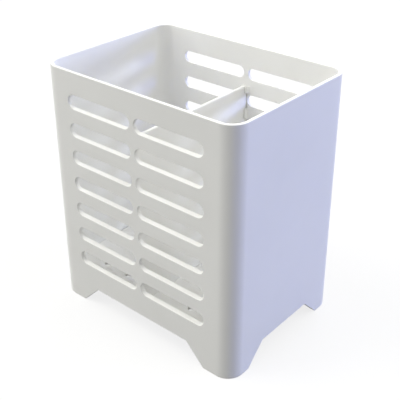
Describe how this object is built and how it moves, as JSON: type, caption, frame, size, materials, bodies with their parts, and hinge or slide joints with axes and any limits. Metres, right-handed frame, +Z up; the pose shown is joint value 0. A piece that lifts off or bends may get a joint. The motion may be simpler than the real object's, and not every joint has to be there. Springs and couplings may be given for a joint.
{
  "type": "chopstick holder",
  "caption": "Free-standing slotted box on corner feet with a lift-out drain floor and a lift-out divider; holds chopsticks and cutlery upright.",
  "frame": {"origin": "centre of the footprint, on the surface that the feet stand on", "axes": "+Z up out of the open top, X across the width, -Y towards the front slotted wall"},
  "size_m": [0.134, 0.0974, 0.15],
  "materials": {
    "shell": "satin moulded white plastic",
    "drain_floor": "satin moulded white plastic",
    "divider": "satin moulded white plastic"
  },
  "bodies": {
    "shell": {"outer_shell": "shell"},
    "drain_floor": {"drain_floor": "drain_floor"},
    "divider": {"divider": "divider"}
  },
  "joints": [
    {"name": "floor_lift", "type": "slide", "parent": "shell", "child": "drain_floor", "axis": [0, 0, 1], "range_m": [0, 0.14]},
    {"name": "divider_lift", "type": "slide", "parent": "drain_floor", "child": "divider", "axis": [0, 0, 1], "range_m": [0, 0.14]}
  ]
}
